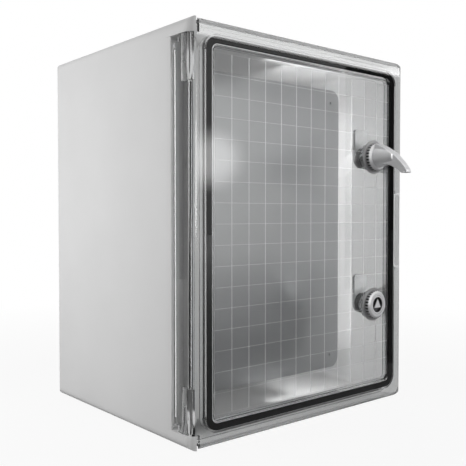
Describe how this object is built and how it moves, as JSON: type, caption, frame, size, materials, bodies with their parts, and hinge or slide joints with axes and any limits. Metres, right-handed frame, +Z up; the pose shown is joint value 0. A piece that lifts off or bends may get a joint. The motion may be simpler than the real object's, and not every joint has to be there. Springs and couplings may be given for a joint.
{
  "type": "plastic control cabinet",
  "caption": "Grey moulded wall cabinet with a clear hinged door, foam door seal, quarter-turn cam locks, a wing handle and a steel mounting plate inside.",
  "frame": {"origin": "middle of the underside, half way across and half way between door front and back face", "axes": "+Z up along the height, +Y from the door to the back face, +X from the hinge side to the lock side"},
  "size_m": [0.3, 0.3074, 0.38],
  "materials": {
    "grey_moulding": "fine satin moulded plastic",
    "zinc_sheet": "zinc plated sheet",
    "zinc_screw": "zinc plated",
    "brass": "turned",
    "pin_steel": "drawn bar",
    "clear_moulding": "clear polished moulding",
    "foam_seal": "fine foam",
    "lock_chrome": "satin chromed casting",
    "ring_rubber": "moulded rubber",
    "zinc_nut": "zinc plated",
    "lock_core_metal": "satin casting",
    "zinc_cam": "zinc plated sheet",
    "handle_metal": "satin casting"
  },
  "bodies": {
    "cabinet": {"body_shell": "grey_moulding", "mounting_plate": "zinc_sheet", "plate_screws": "zinc_sheet", "plate_pillars": "zinc_nut", "brass_inserts": "brass", "hinge_pin_top": "pin_steel", "hinge_pin_bottom": "pin_steel"},
    "door": {"door_panel": "clear_moulding", "door_seal": "foam_seal", "upper_lock_housing": "lock_chrome", "upper_lock_ring": "ring_rubber", "upper_lock_nut": "zinc_nut", "lower_lock_housing": "lock_chrome", "lower_lock_ring": "ring_rubber", "lower_lock_nut": "zinc_nut"},
    "upper_latch": {"upper_lock_core": "lock_core_metal", "upper_cam": "zinc_cam", "upper_cam_screw": "zinc_screw", "wing_handle": "handle_metal"},
    "lower_latch": {"lower_lock_core": "lock_core_metal", "lower_cam": "zinc_cam", "lower_cam_screw": "zinc_screw"}
  },
  "joints": [
    {"name": "door_hinge", "type": "hinge", "parent": "cabinet", "child": "door", "pos_m": [-0.1455, -0.118, 0.19], "axis": [0, 0, -1], "range_deg": [0, 110]},
    {"name": "upper_latch_turn", "type": "hinge", "parent": "door", "child": "upper_latch", "pos_m": [0.096, -0.13, 0.27], "axis": [0, 1, 0], "range_deg": [0, 90]},
    {"name": "lower_latch_turn", "type": "hinge", "parent": "door", "child": "lower_latch", "pos_m": [0.096, -0.13, 0.11], "axis": [0, 1, 0], "range_deg": [0, 90]}
  ]
}
